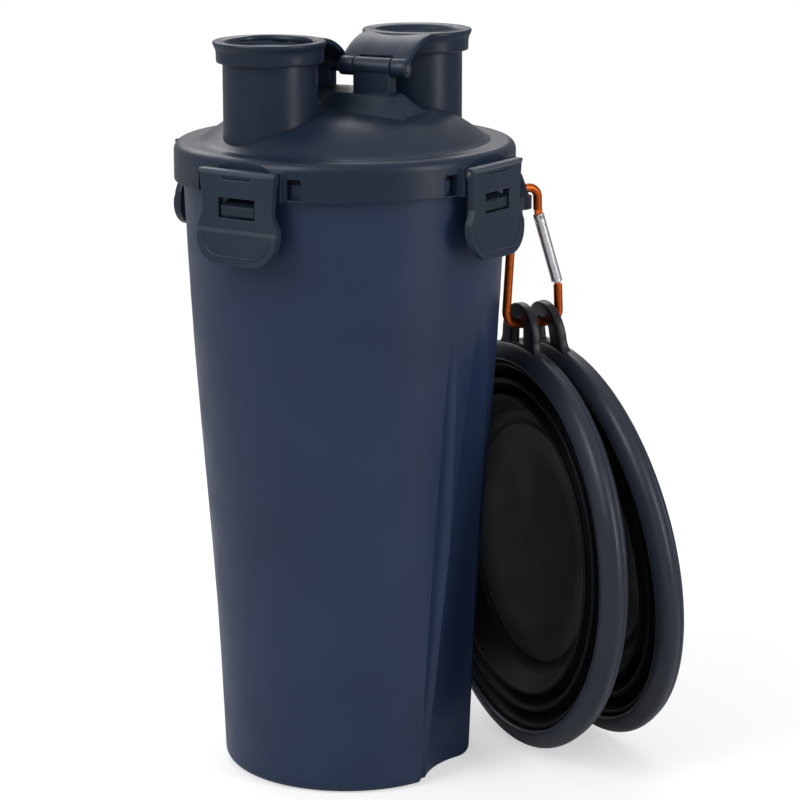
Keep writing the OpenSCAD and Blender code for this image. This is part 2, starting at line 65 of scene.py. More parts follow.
def make_camera():
    data = bpy.data.cameras.new("view")
    data.sensor_width = 36
    data.lens = CAMERA_LENS
    camera = bpy.data.objects.new("view", data)
    camera.location = CAMERA_AT
    camera.rotation_euler = (math.radians(90 - CAMERA_PITCH), 0, 0)
    bpy.context.scene.collection.objects.link(camera)
    bpy.context.scene.camera = camera


# ---- node trees ----


class Tree:
    """A short way to add nodes to a material and link them."""

    def __init__(self, owner):
        self.nodes = owner.node_tree.nodes
        self.links = owner.node_tree.links

    def add(self, kind, inputs=None, **settings):
        node = self.nodes.new("ShaderNode" + kind)
        for key, value in settings.items():
            setattr(node, key, value)
        for key, value in (inputs or {}).items():
            if hasattr(value, "is_output"):
                self.links.new(value, node.inputs[key])
            else:
                node.inputs[key].default_value = value
        return node

    def noise(self, place, scale, detail=3.0, roughness=0.5):
        return self.add(
            "TexNoise", {"Vector": place, "Scale": scale, "Detail": detail, "Roughness": roughness}
        ).outputs["Fac"]

    def span(self, value, low, high, start=0.35, end=0.65):
        return self.add(
            "MapRange", {"Value": value, "From Min": start, "From Max": end, "To Min": low, "To Max": high}
        ).outputs["Result"]

    def mix(self, amount, first, second):
        node = self.add("Mix", data_type="RGBA")
        for socket, value in ((node.inputs[0], amount), (node.inputs[6], first), (node.inputs[7], second)):
            if hasattr(value, "is_output"):
                self.links.new(value, socket)
            else:
                socket.default_value = value
        return node.outputs[2]

    def maths(self, operation, first, second=0.0):
        return self.add("Math", {0: first, 1: second}, operation=operation).outputs[0]


def new_material(name):
    """(material, its tree, its Principled shader, object coordinates)."""
    material = bpy.data.materials.new(name)
    material.use_nodes = True
    tree = Tree(material)
    shader = tree.nodes["Principled BSDF"]
    place = tree.add("TexCoord").outputs["Object"]
    return material, tree, shader, place


def soft_edges(tree, radius):
    """(normal rounded over the sharp edges, how near a point is to such an edge from 0 to 1)."""
    rounded = tree.add("Bevel", {"Radius": radius}, samples=6).outputs["Normal"]
    plain = tree.add("NewGeometry").outputs["Normal"]
    same = tree.add("VectorMath", {0: rounded, 1: plain}, operation="DOT_PRODUCT").outputs["Value"]
    return rounded, tree.span(same, 1.0, 0.0, start=0.75, end=0.995)


def bottle_shades(tree, place, colour):
    """The clips' colour on the catches and the hook's lug, which stand out past the bottle's wall."""
    parts = tree.add("SeparateXYZ", {0: place}).outputs
    flat = tree.add("CombineXYZ", {"X": parts["X"], "Y": parts["Y"]}).outputs[0]
    radius = tree.add("VectorMath", {0: flat}, operation="LENGTH").outputs["Value"]
    return tree.mix(tree.span(radius, 0.0, 1.0, start=0.0521, end=0.0526), colour, (0.012, 0.020, 0.035, 1))


def moulded(name, base, worn, roughness, grain, edge=0.0006, shades=None):
    """Moulded plastic: slow colour drift, a fine spark-eroded grain, faint scuffs and rubbed edges."""
    material, tree, shader, place = new_material(name)
    rounded, near_edge = soft_edges(tree, edge)
    drift = tree.span(tree.noise(place, 22.0, 4.0), 0.0, 1.0)
    deeper = [c * 0.82 for c in base[:3]] + [1]
    body = tree.mix(drift, [*base, 1], deeper)
    rubbed = tree.maths("MULTIPLY", near_edge, tree.span(tree.noise(place, 160.0), 0.15, 0.6))
    colour = tree.mix(rubbed, body, [*worn, 1])
    if shades:
        colour = shades(tree, place, colour)
    scuff_place = tree.add("Mapping", {"Vector": place, "Scale": (1.0, 1.0, 0.16)}).outputs[0]
    scuffs = tree.span(tree.noise(scuff_place, 420.0, 6.0, 0.7), 0.0, 0.09, start=0.56, end=0.72)
    sheen = tree.span(tree.noise(place, 70.0, 5.0), roughness - 0.05, roughness + 0.05)
    fine = tree.noise(place, 2600.0, 2.0)
    broad = tree.noise(place, 320.0, 2.0)
    height = tree.maths("ADD", tree.maths("MULTIPLY", fine, grain), tree.maths("MULTIPLY", broad, 0.35))
    bump = tree.add("Bump", {"Strength": 0.12, "Distance": 0.0002, "Height": height, "Normal": rounded})
    tree.links.new(colour, shader.inputs["Base Color"])
    tree.links.new(tree.maths("ADD", sheen, scuffs), shader.inputs["Roughness"])
    tree.links.new(bump.outputs[0], shader.inputs["Normal"])
    shader.inputs["Specular IOR Level"].default_value = 0.34
    return material


def silicone(name, base, dusty, roughness):
    """Silicone rubber: matt, a little dust caught in a fine soft texture."""
    material, tree, shader, place = new_material(name)
    rounded, near_edge = soft_edges(tree, SILICONE_EDGE)
    dust = tree.span(tree.noise(place, 90.0, 6.0, 0.65), 0.0, 0.35, start=0.5, end=0.75)
    dusted = tree.maths("MAXIMUM", dust, tree.maths("MULTIPLY", near_edge, 0.4))
    colour = tree.mix(dusted, [*base, 1], [*dusty, 1])
    matt = tree.span(tree.noise(place, 45.0, 3.0), roughness - 0.06, roughness + 0.06)
    bump = tree.add(
        "Bump",
        {"Strength": 0.15, "Distance": 0.0002, "Height": tree.noise(place, 1800.0, 3.0), "Normal": rounded},
    )
    tree.links.new(colour, shader.inputs["Base Color"])
    tree.links.new(matt, shader.inputs["Roughness"])
    tree.links.new(bump.outputs[0], shader.inputs["Normal"])
    shader.inputs["Specular IOR Level"].default_value = 0.12
    shader.inputs["Sheen Weight"].default_value = 0.015
    shader.inputs["Sheen Roughness"].default_value = 0.5
    return material


def metal(name, base, bright, roughness):
    """Metal with lengthwise draw marks, dulled where hands rub it."""
    material, tree, shader, place = new_material(name)
    rounded, near_edge = soft_edges(tree, METAL_EDGE)
    lengthwise = tree.add("Mapping", {"Vector": place, "Scale": (1.0, 1.0, 0.05)}).outputs[0]
    marks = tree.noise(lengthwise, 2400.0, 4.0, 0.7)
    smudge = tree.span(tree.noise(place, 160.0, 4.0), 0.0, 0.5)
    colour = tree.mix(tree.maths("MAXIMUM", near_edge, smudge), [*base, 1], [*bright, 1])
    drawn = tree.span(marks, roughness - 0.06, roughness + 0.1)
    dull = tree.maths("ADD", drawn, tree.maths("MULTIPLY", smudge, 0.12))
    bump = tree.add("Bump", {"Strength": 0.1, "Distance": 0.0001, "Height": marks, "Normal": rounded})
    tree.links.new(colour, shader.inputs["Base Color"])
    tree.links.new(dull, shader.inputs["Roughness"])
    tree.links.new(bump.outputs[0], shader.inputs["Normal"])
    shader.inputs["Metallic"].default_value = 1.0
    return material


BOTTLE_PLASTIC = moulded(
    "bottle_plastic",
    (0.0177, 0.0335, 0.080),
    (0.045, 0.07, 0.13),
    0.38,
    0.7,
    edge=0.0008,
    shades=bottle_shades,
)
LID_PLASTIC = moulded("lid_plastic", (0.011, 0.021, 0.043), (0.05, 0.07, 0.11), 0.37, 0.9)
CLIP_PLASTIC = moulded("clip_plastic", (0.017, 0.029, 0.050), (0.08, 0.10, 0.14), 0.36, 0.9)
# a lighter copy of the clip's plastic: a painted highlight along the clips' top lips
CLIP_PAINTED_HIGHLIGHT = moulded("clip_painted_highlight", (0.05, 0.066, 0.096), (0.09, 0.11, 0.15), 0.33, 0.9)
RIM_PLASTIC = moulded("bowl_rim_plastic", (0.021, 0.027, 0.041), (0.05, 0.055, 0.07), 0.36, 0.6)
TAB_PLASTIC = moulded("bowl_tab_plastic", (0.008, 0.010, 0.014), (0.03, 0.033, 0.04), 0.38, 0.6)
BOWL_SILICONE = silicone("bowl_silicone", (0.0028, 0.0031, 0.0048), (0.009, 0.0095, 0.012), 0.52)
GASKET_SILICONE = silicone("gasket_silicone", (0.010, 0.012, 0.016), (0.016, 0.017, 0.02), 0.5)
SEAL_SILICONE = silicone("seal_silicone", (0.55, 0.57, 0.60), (0.62, 0.62, 0.60), 0.5)
HOOK_METAL = metal("hook_anodised", (0.50, 0.088, 0.014), (0.64, 0.155, 0.038), 0.34)
GATE_METAL = metal("gate_aluminium", (0.72, 0.73, 0.75), (0.86, 0.86, 0.87), 0.30)
PIN_METAL = metal("pin_steel", (0.24, 0.25, 0.27), (0.36, 0.37, 0.38), 0.32)


def dress(name, material):
    """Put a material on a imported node."""
    mesh = nodes[name].data
    mesh.materials.clear()
    mesh.materials.append(material)


def dress_nodes():
    for name in nodes:
        if name == "bottle_body":
            dress(name, BOTTLE_PLASTIC)
        elif name == "lid_gasket":
            dress(name, GASKET_SILICONE)
        elif name.endswith("_plug"):
            dress(name, SEAL_SILICONE)
        elif "pin" in name or name.endswith("spring"):
            dress(name, PIN_METAL)
        elif name == "hook_body":
            dress(name, HOOK_METAL)
        elif name == "hook_gate":
            dress(name, GATE_METAL)
        elif name.startswith("clip"):
            dress(name, CLIP_PLASTIC)
        elif name.endswith("rim"):
            dress(name, RIM_PLASTIC)
        elif "bowl" in name:
            dress(name, BOWL_SILICONE)
        else:
            dress(name, LID_PLASTIC)


# ---- surfaces ----


def surface(name, points, material, wrap_rows=True, wrap_columns=True):
    """A mesh on a grid of points, shape (rows, columns, 3), joined round where it wraps."""
    rows, columns = points.shape[:2]
    index = np.arange(rows * columns).reshape(rows, columns)
    if wrap_rows:
        index = np.vstack([index, index[:1]])
    if wrap_columns:
        index = np.hstack([index, index[:, :1]])
    quads = np.stack([index[:-1, :-1], index[1:, :-1], index[1:, 1:], index[:-1, 1:]], axis=-1).reshape(-1, 4)
    mesh = bpy.data.meshes.new(name)
    mesh.from_pydata(points.reshape(-1, 3).tolist(), [], quads.tolist())
    tidy = bmesh.new()
    tidy.from_mesh(mesh)
    bmesh.ops.remove_doubles(tidy, verts=tidy.verts, dist=1e-7)
    bmesh.ops.recalc_face_normals(tidy, faces=tidy.faces)
    tidy.to_mesh(mesh)
    tidy.free()
    mesh.polygons.foreach_set("use_smooth", np.ones(len(mesh.polygons), bool))
    mesh.materials.append(material)
    made = bpy.data.objects.new(name, mesh)
    bpy.context.scene.collection.objects.link(made)
    return made


def smooth_loop(corners, steps=6):
    """A closed Catmull-Rom curve through the corners: each stretch is the cubic that leaves a corner
    along the line between its two neighbours."""
    p = np.array(corners, float)
    before, after, beyond = np.roll(p, 1, 0), np.roll(p, -1, 0), np.roll(p, -2, 0)
    t = np.linspace(0, 1, steps, endpoint=False)[None, :, None]
    p0, p1, p2, p3 = (q[:, None, :] for q in (before, p, after, beyond))
    curve = p1 + t / 2 * (p2 - p0) + t**2 / 2 * (2 * p0 - 5 * p1 + 4 * p2 - p3)
    curve = curve + t**3 / 2 * (3 * p1 - p0 - 3 * p2 + p3)
    return curve.reshape(-1, p.shape[1])


def stadium(start, end, thickness):
    """A slab's outline: the straight from start to end, thickened, with a half circle at each end."""
    start, end = np.array(start, float), np.array(end, float)
    along = (end - start) / np.linalg.norm(end - start)
    aside = np.array([-along[1], along[0]])
    a = np.linspace(0, math.pi, 10)[:, None]
    half = thickness / 2
    first = end + half * (np.cos(a) * aside + np.sin(a) * along)
    second = start + half * (-np.cos(a) * aside - np.sin(a) * along)
    return np.vstack([first, second])


def squared_off(wave, power):
    """A sine or cosine pushed towards its ends: sign(wave) * abs(wave) ** power."""
    return np.sign(wave) * np.abs(wave) ** power


# ---- frames on the lid ----


def lay(angle, x, y, z):
    """Points in metres from millimetres in a frame turned by an angle in degrees about the bottle's axis."""
    c, s = math.cos(math.radians(angle)), math.sin(math.radians(angle))
    x, y, z = np.broadcast_arrays(x, y, z)
    return MM * np.stack([c * x - s * y, s * x + c * y, z], axis=-1)


def round_slab(thickness):
    """(across from -1 to 1, through) of a slab's section: a superellipse, so its long edges are rounded."""
    a = np.linspace(0, 2 * math.pi, 72, endpoint=False)
    return np.round(squared_off(np.cos(a), 0.3), 4), np.round(thickness / 2 * squared_off(np.sin(a), 0.3), 4)


# ---- flip caps ----

CAP_TURN = -26.6
SPOUT_X, SPOUT_Y = 12.5, 26.0
CAP_LOW, CAP_HIGH = 233.0, 239.8
HINGE_Y, HINGE_Z = -3.6, 230.4
KNUCKLE_R = 3.0
STRAP_HALF = 11.8
POST_HALF = 6.3
STRAP_TOP_Y, STRAP_R, STRAP_T = 14.0, 26.0, 2.2
STRAP_SPREAD = 1.2
STRAP_START = HINGE_Y - 1.9
NOTCH_DEPTH, NOTCH_GAP = 3.3, 0.55
DISH_R = 13.4


def cap_shell(name, turn):
    """The cap's cup turned about its spout's axis. Its lip flares by an amount that grows smoothly
    towards the thumb's side: flare = 0.15 + 0.85 * ((1 + sin(angle)) / 2) ** 1.5."""
    angle = np.linspace(0, 2 * math.pi, TURNS, endpoint=False)[:, None]
    flare = 0.15 + 0.85 * ((1 + np.sin(angle)) / 2) ** 1.5
    low, high = CAP_LOW, CAP_HIGH
    plain = [
        (15.3, low + 0.08), (16.4, low + 0.04), (16.75, low + 0.5), (16.8, low + 2.2), (16.85, low + 3.9),
        (17.1, low + 5.4), (17.15, low + 6.2), (16.7, high - 0.08), (15.4, high - 0.1), (14.1, high - 0.5),
        (DISH_R, high - 1.6), (12.5, high - 2.42), (11.0, high - 2.5), (0.0, high - 2.5), (0.0, high - 4.3),
        (13.0, high - 4.3), (14.9, high - 4.5), (15.12, low + 1.0),
    ]
    spread = [0, 0, 0, 0.04, 0.2, 0.75, 1.0, 0.9, 0.5, 0.15, 0, 0, 0, 0, 0, 0, 0, 0]
    profile = smooth_loop([(r, z, w) for (r, z), w in zip(plain, spread)], 5)
    radius = np.maximum(0, profile[None, :, 0] + profile[None, :, 2] * flare)
    x = SPOUT_X + radius * np.cos(angle)
    y = SPOUT_Y + radius * np.sin(angle)
    return surface(name, lay(turn, x, y, profile[None, :, 1] + 0 * x), LID_PLASTIC)


def cap_strap(name, turn):
    """The strap: an arc of radius STRAP_R that leaves the cap level and drops onto the hinge. It starts
    behind the post's knuckle in the middle, ends round the cap's dish and widens where it meets the lip."""
    across, through = round_slab(STRAP_T)
    travel = np.linspace(0, 1, 40)[:, None]
    widen = np.clip((travel - 0.55) / 0.45, 0, 1) ** 2
    x = across[None, :] * (STRAP_HALF + STRAP_SPREAD * widen)
    near_post = np.clip((POST_HALF + NOTCH_GAP - np.abs(x)) / 0.25, 0, 1)
    start = STRAP_START + NOTCH_DEPTH * near_post
    end = SPOUT_Y - np.sqrt(np.maximum(DISH_R**2 - x**2, 18.0))
    y = start + (end - start) * travel
    tilt = np.arcsin(np.clip((y - STRAP_TOP_Y) / STRAP_R, -1, 0))
    level = np.maximum(0, y - STRAP_TOP_Y)

    def skin(rise):
        """The strap's points at a height over its middle surface."""
        out = STRAP_R - STRAP_T / 2 + rise
        across_y = STRAP_TOP_Y + level + out * np.sin(tilt)
        up = CAP_HIGH - 0.02 - STRAP_R + out * np.cos(tilt)
        return lay(turn, SPOUT_X + x, across_y, up)

    full, flat = skin(through[None, :]), skin(0 * through[None, :])
    return surface(name, np.concatenate([flat[:1], full, flat[-1:]]), LID_PLASTIC, wrap_rows=False)


def cap_knuckle(name, turn, side):
    """A hinge knuckle turned about the pin, with rounded shoulders."""
    near, far = POST_HALF + 0.3, STRAP_HALF - 0.08
    r = KNUCKLE_R
    profile = np.array([
        (0, near), (r - 0.25, near), (r - 0.05, near + 0.08), (r, near + 0.3),
        (r, far - 0.5), (r - 0.08, far - 0.2), (r - 0.4, far), (0, far),
    ])
    angle = np.linspace(0, 2 * math.pi, 64, endpoint=False)[:, None]
    radius, along = profile[None, :, 0], profile[None, :, 1]
    y = HINGE_Y + radius * np.cos(angle)
    z = HINGE_Z + radius * np.sin(angle)
    return surface(name, lay(turn, SPOUT_X + side * along + 0 * y, y, z), LID_PLASTIC, wrap_columns=False)


def make_cap(cap, turn):
    shell = cap_shell(cap + "_shell", turn)
    pieces = [shell, cap_strap(cap + "_strap", turn)]
    pieces += [cap_knuckle(cap + "_knuckle_%d" % (k + 1), turn, side) for k, side in enumerate((-1, 1))]
    for piece in pieces:
        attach(piece, cap)
    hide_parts(cap)


# ---- the saddle between the hinge posts ----

SHELF_Z, DOME_R, DOME_H = 206.6, 46.5, 10.7
SADDLE_TOP = SHELF_Z + DOME_H + 5.1
SADDLE_RUN, SADDLE_SOFT, SADDLE_FALL = 8.0, 0.2, 2.1
SADDLE_REACH_X, SADDLE_REACH_Y = 30, 17.5
SADDLE_MERGE = 4.0
CROWN_RISE, CROWN_X, CROWN_Y = 1.2, 9, 5
BRIDGE_X, BRIDGE_Y = 9.75, 3.8
BRIDGE_HALF_X, BRIDGE_HALF_Y = 11.0, 4.75
SPOUT_WALL_R = 13.7


def dome_height(r):
    """The lid's dome: shelf + height * (1 - (r / radius) ** 4.6) ** 1.3."""
    return SHELF_Z + DOME_H * (1 - np.minimum(1, r / DOME_R) ** 4.6) ** 1.3


def outside_bridge(x, y, side):
    """About how far points lie outside the superellipse round one block of the bridge,
    (x / half_x) ** 4 + (y / half_y) ** 4 = 1: its level less one, over the length of the level's gradient."""
    u = np.abs(x - side * BRIDGE_X) / BRIDGE_HALF_X
    v = np.abs(y + side * BRIDGE_Y) / BRIDGE_HALF_Y
    level = np.maximum(1e-6, (u**4 + v**4) ** 0.25)
    slope = np.hypot(u**3 / BRIDGE_HALF_X, v**3 / BRIDGE_HALF_Y) / level**3
    return np.maximum(0, level - 1) / np.maximum(1e-6, slope)


def make_saddle():
    """A soft mound over the bridge that carries both posts. Its height falls from the bridge's top to the
    dome as (1 - s) ** SADDLE_FALL, where t is the distance from the bridge over the run of the flank and
    s = (sqrt(t ** 2 + soft ** 2) - soft) / (sqrt(1 + soft ** 2) - soft), which rounds the top edge.
    Each row of points ends in the middle of a spout's wall, or at the mound's edge where that comes first."""
    row_x = np.linspace(-SADDLE_REACH_X, SADDLE_REACH_X, 170)[:, None]

    def row_end(side):
        """How far a row runs towards one spout."""
        off_centre = row_x - side * SPOUT_X
        return np.minimum(SADDLE_REACH_Y, SPOUT_Y - np.sqrt(np.maximum(0, SPOUT_WALL_R**2 - off_centre**2)))

    along = np.linspace(0, 1, 110)[None, :]
    y = -row_end(-1) * (1 - along) + row_end(1) * along
    x = row_x + 0 * y
    first, second = outside_bridge(x, y, 1), outside_bridge(x, y, -1)
    gap = np.abs(first - second)
    merged = 0.25 * np.maximum(0, SADDLE_MERGE - gap) ** 2 / SADDLE_MERGE
    away = np.maximum(0, np.minimum(first, second) - merged)
    t = np.clip(away / SADDLE_RUN, 0, 1)
    t = (np.sqrt(t**2 + SADDLE_SOFT**2) - SADDLE_SOFT) / (math.hypot(1, SADDLE_SOFT) - SADDLE_SOFT)
    ground = dome_height(np.hypot(x, y))
    crown = SADDLE_TOP + CROWN_RISE * np.exp(-((x / CROWN_X) ** 2)) * np.exp(-((y / CROWN_Y) ** 2))
    top = ground - 0.25 + (crown - ground + 0.25) * (1 - t) ** SADDLE_FALL
    upper = np.stack([x, y, top], axis=-1)
    lower = np.stack([x, y, ground - 1.2], axis=-1)[:, ::-1]
    skin = np.concatenate([upper, lower], axis=1)
    first_end = np.concatenate([lower[:1, ::-1], lower[:1]], axis=1)
    last_end = np.concatenate([lower[-1:, ::-1], lower[-1:]], axis=1)
    points = np.concatenate([first_end, skin, last_end])
    mound = surface("lid_saddle", lay(CAP_TURN, *np.moveaxis(points, -1, 0)), LID_PLASTIC, wrap_rows=False)
    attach(mound, "bottle")


# ---- side clips ----

CLIP_TURN = 11.0
CLIPS = {"front_left": -45, "front_right": 45, "back_right": 135, "back_left": 225}
CLIP_FACE = 57.5
CLIP_TOP = 203.4
CLIP_HALF = 14.0
RIDGE_HALF, RIDGE_TOP, RIDGE_FOOT = 12.4, 184.6, 176.9
RIDGE_BEND, RIDGE_THICK = 6.4, 0.42
FLARE_TOP, FLARE_RUN, FLARE_OUT = 184.1, 10.8, 1.1


def thumb_ridge(name, turn):
    """A fine raised line that follows the thumb tab's outline 2.6 mm inside it, on its flared face."""
    bend = np.linspace(0, math.pi / 2, 14)
    across = RIDGE_HALF - RIDGE_BEND + RIDGE_BEND * np.cos(bend)
    right = np.stack([across, RIDGE_FOOT + RIDGE_BEND - RIDGE_BEND * np.sin(bend)], axis=-1)
    ends = [[(RIDGE_HALF, RIDGE_TOP)], [(0, RIDGE_FOOT)], [(-RIDGE_HALF, RIDGE_TOP)]]
    path = np.vstack([ends[0], right, ends[1], right[::-1] * (-1, 1), ends[2]])
    along = np.gradient(path, axis=0)
    along /= np.linalg.norm(along, axis=1)[:, None]
    aside = np.stack([-along[:, 1], along[:, 0]], axis=-1)
    a = np.linspace(0, 2 * math.pi, 12, endpoint=False)
    swell = RIDGE_THICK * np.sin(np.linspace(0, math.pi, len(path))) ** 0.35
    face = CLIP_FACE + 0.5 + (FLARE_TOP - path[:, 1]) / FLARE_RUN * FLARE_OUT
    flat = path[:, None, :] + aside[:, None, :] * (swell[:, None] * np.cos(a))[..., None]
    out = face[:, None] + 0.75 * swell[:, None] * np.sin(a)
    return surface(name, lay(turn, out, flat[..., 0], flat[..., 1]), CLIP_PLASTIC, wrap_rows=False)


def top_lip(name, turn):
    """The clip's flared top edge: a sliver whose face tips up to the light. It thins towards its ends as
    1 - 0.25 * run ** 6, where run goes from -1 to 1."""
    run = np.linspace(-1, 1, 24)[:, None]
    corners = np.array([(-1.2, -0.1), (0.02, -1.7), (0.42, -0.6), (0.24, -0.1), (-0.4, 0.12), (-1.2, 0.12)])
    full = 1 - 0.25 * np.abs(run) ** 6
    out = CLIP_FACE + corners[None, :, 0] * full
    up = CLIP_TOP + corners[None, :, 1] * full
    across = (CLIP_HALF + 0.15) * run + 0 * out
    ring = lay(turn, out, across, up)
    ends = [np.repeat(row.mean(axis=0)[None, None, :], len(corners), axis=1) for row in (ring[0], ring[-1])]
    # the lip is coloured lighter than the rest of the clip: a painted highlight along its top edge
    lip = surface(name, np.concatenate([ends[0], ring, ends[1]]), CLIP_PAINTED_HIGHLIGHT, wrap_rows=False)
    lip.data.polygons.foreach_set("use_smooth", np.zeros(len(lip.data.polygons), bool))
    return lip


def make_clips():
    for place, angle in CLIPS.items():
        turn = CLIP_TURN + angle - 90
        for piece in (thumb_ridge("thumb_ridge_" + place, turn), top_lip("top_lip_" + place, turn)):
            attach(piece, "clip_" + place)


# ---- bowls ----

BOWL_R = 68.5
RIM_T = 8.5
LIP_IN_R = BOWL_R - 6.5
TAB_MID = RIM_T / 2
TAB_T = 3.2
TAB_R = 11.0
TAB_FLARE = 3.4
BOWL_DROP = 75.0
HOLE_R = 3.7
HOLE_TOP = BOWL_DROP + 1.45 + 0.45 - HOLE_R
HOLE_LOW = BOWL_R + 0.3
BAND_TOP = 1.5
BAND_LOW = BAND_TOP + 9.0
TAPER = 3.8
WALL = 1.5
BAND_STEP = TAPER + WALL + 0.35
BAND_RS = [LIP_IN_R - 0.35 - step * BAND_STEP for step in range(3)]
FLAT_R = 30.0
FLOOR_RING = [(39.0, 0.0), (39.4, -0.25), (40.2, -0.25), (40.6, 0.0)]


class Bowl:
    """One bowl's own frame, from its swing joint on the hook's wire: depth runs away from the bottle, up
    runs to its tab."""

    def __init__(self, side, depth):
        joint = joints[side + "_bowl_swing"]
        self.side = side
        self.depth = np.array(depth) / np.linalg.norm(depth)
        level = np.array(joint["axis"], float)
        self.across = np.cross((0, 0, 1), level)
        self.across /= np.linalg.norm(self.across)
        self.up = np.cross(self.depth, self.across)
        wire = np.array(joint["pos_m"], float)
        self.centre = wire - MM * (TAB_MID * self.depth + BOWL_DROP * self.up)

    def place(self, up, across, depth):
        """Points in metres from arrays in the bowl's own millimetres."""
        return (
            self.centre
            + MM * up[..., None] * self.up
            + MM * across[..., None] * self.across
            + MM * depth[..., None] * self.depth
        )

    def turned(self, name, profile, material):
        """A profile of (radius, depth) points carried once round the bowl's axis."""
        angle = np.linspace(0, 2 * math.pi, TURNS, endpoint=False)[:, None]
        radius, depth = profile[None, :, 0], profile[None, :, 1]
        points = self.place(radius * np.cos(angle), radius * np.sin(angle), depth + 0 * angle)
        return surface(name, points, material)

    def rim(self):
        """A closed profile with a thin rolled lip, a swelling side and a parting groove near its back."""
        profile = smooth_loop(
            [
                (LIP_IN_R + 0.05, 1.3),
                (LIP_IN_R + 0.5, 0.25),
                (LIP_IN_R + 1.5, 0.06),
                (LIP_IN_R + 3.4, 0.75),
                (BOWL_R - 0.85, 2.2),
                (BOWL_R - 0.12, 3.9),
                (BOWL_R - 0.5, 5.8),
                (BOWL_R - 1.15, 6.5),
                (BOWL_R - 1.08, 7.0),
                (BOWL_R - 1.5, 7.85),
                (BOWL_R - 2.2, RIM_T - 0.08),
                (LIP_IN_R + 2.6, RIM_T - 0.03),
                (LIP_IN_R + 0.5, RIM_T - 0.2),
                (LIP_IN_R + 0.03, RIM_T - 0.9),
                (LIP_IN_R + 0.02, 4.0),
            ]
        )
        return self.turned(self.side + "_bowl_rim_skin", profile, RIM_PLASTIC)

    def tab(self):
        """The hanging tab: a ring between an arch-shaped outline and its arch-shaped hole. At every point of
        the outline the section is a rounded slab that runs from the hole out to the edge."""
        t = np.linspace(0, 1, 96, endpoint=False)
        arc = np.clip((t - 0.25) / 0.5, 0, 1) * math.pi
        left, right = np.clip(t / 0.25, 0, 1), np.clip((t - 0.75) / 0.25, 0, 1)
        top_up, foot_up = BOWL_DROP - 4.0, BOWL_R - 3.0
        climb = np.where(t < 0.25, left, np.where(t > 0.75, 1 - right, 1.0))
        outer_up = np.where(climb < 1, foot_up + (top_up - foot_up) * climb, top_up + TAB_R * np.sin(arc))
        spread = TAB_R + TAB_FLARE * np.clip(1 - climb, 0, 1) ** 2.2
        outer_across = np.where(climb < 1, np.sign(0.5 - t) * spread, TAB_R * np.cos(arc))
        hole_side = HOLE_LOW + (HOLE_TOP - HOLE_LOW) * climb
        hole_up = np.where(climb < 1, hole_side, HOLE_TOP + HOLE_R * np.sin(arc))
        hole_across = np.where(climb < 1, np.sign(0.5 - t) * HOLE_R, HOLE_R * np.cos(arc))
        # the foot of the ring, from one side to the other, closes the arch under the hole
        foot = np.linspace(-1, 1, 14)[1:-1]
        outer_up = np.concatenate([outer_up, np.full(foot.size, foot_up)])
        outer_across = np.concatenate([outer_across, foot * (TAB_R + TAB_FLARE)])
        hole_up = np.concatenate([hole_up, np.full(foot.size, HOLE_LOW)])
        hole_across = np.concatenate([hole_across, foot * HOLE_R])
        a = np.linspace(0, 2 * math.pi, 28, endpoint=False)
        reach = 0.5 + 0.5 * squared_off(np.cos(a), 0.28)
        depth = TAB_MID + TAB_T / 2 * squared_off(np.sin(a), 0.28)
        up = hole_up[:, None] + (outer_up - hole_up)[:, None] * reach[None, :]
        across = hole_across[:, None] + (outer_across - hole_across)[:, None] * reach[None, :]
        points = self.place(up, across, depth[None, :] + 0 * up)
        return surface(self.side + "_bowl_tab", points, TAB_PLASTIC)

    def band(self, name, number):
        """A cone wall with rounded edges, a third of the bowl's side."""
        radius = BAND_RS[number] - WALL / 2
        start, end = (radius, BAND_TOP + WALL / 2), (radius - TAPER, BAND_LOW - WALL / 2)
        return self.turned(self.side + "_bowl_" + name, stadium(start, end, WALL), BOWL_SILICONE)

    def web(self, name, start, end):
        """The thin fold of silicone from the narrow edge of one band back up to the bead of the next."""
        return self.turned(self.side + "_bowl_" + name, stadium(start, end, 0.7), BOWL_SILICONE)

    def cup(self):
        """The floor cup: a cone wall that runs through a rounded corner into the flat floor, with a fine
        raised ring on the inside of the floor."""
        r, low, bead = BAND_RS[2], BAND_LOW, WALL / 2
        inside = low - WALL
        bends = np.linspace(-1.4, 1.4, 9)
        lip = [(r - bead + bead * math.sin(a), BAND_TOP + bead - bead * math.cos(a)) for a in bends]
        profile = np.array(
            lip
            + [(r - TAPER + 0.3, low - 1.6), (r - TAPER - 0.2, low - 0.6), (r - TAPER - 1.2, low)]
            + [(FLAT_R, low), (0.0, low), (0.0, inside), (FLAT_R, inside)]
            + [(ring_r, inside + rise) for ring_r, rise in FLOOR_RING]
            + [(r - TAPER - 3.4, low - 1.55), (r - TAPER - 2.3, low - 2.0), (r - TAPER - 1.6, low - 3.2)]
        )
        return self.turned(self.side + "_bowl_cup", profile, BOWL_SILICONE)


def bead_of(number):
    """(radius, depth) of the bead at a band's wide edge."""
    return (BAND_RS[number] - 0.8, BAND_TOP + 0.9)


def narrow_of(number):
    """(radius, depth) of a band's narrow edge."""
    return (BAND_RS[number] - TAPER - 0.7, BAND_LOW - 0.7)


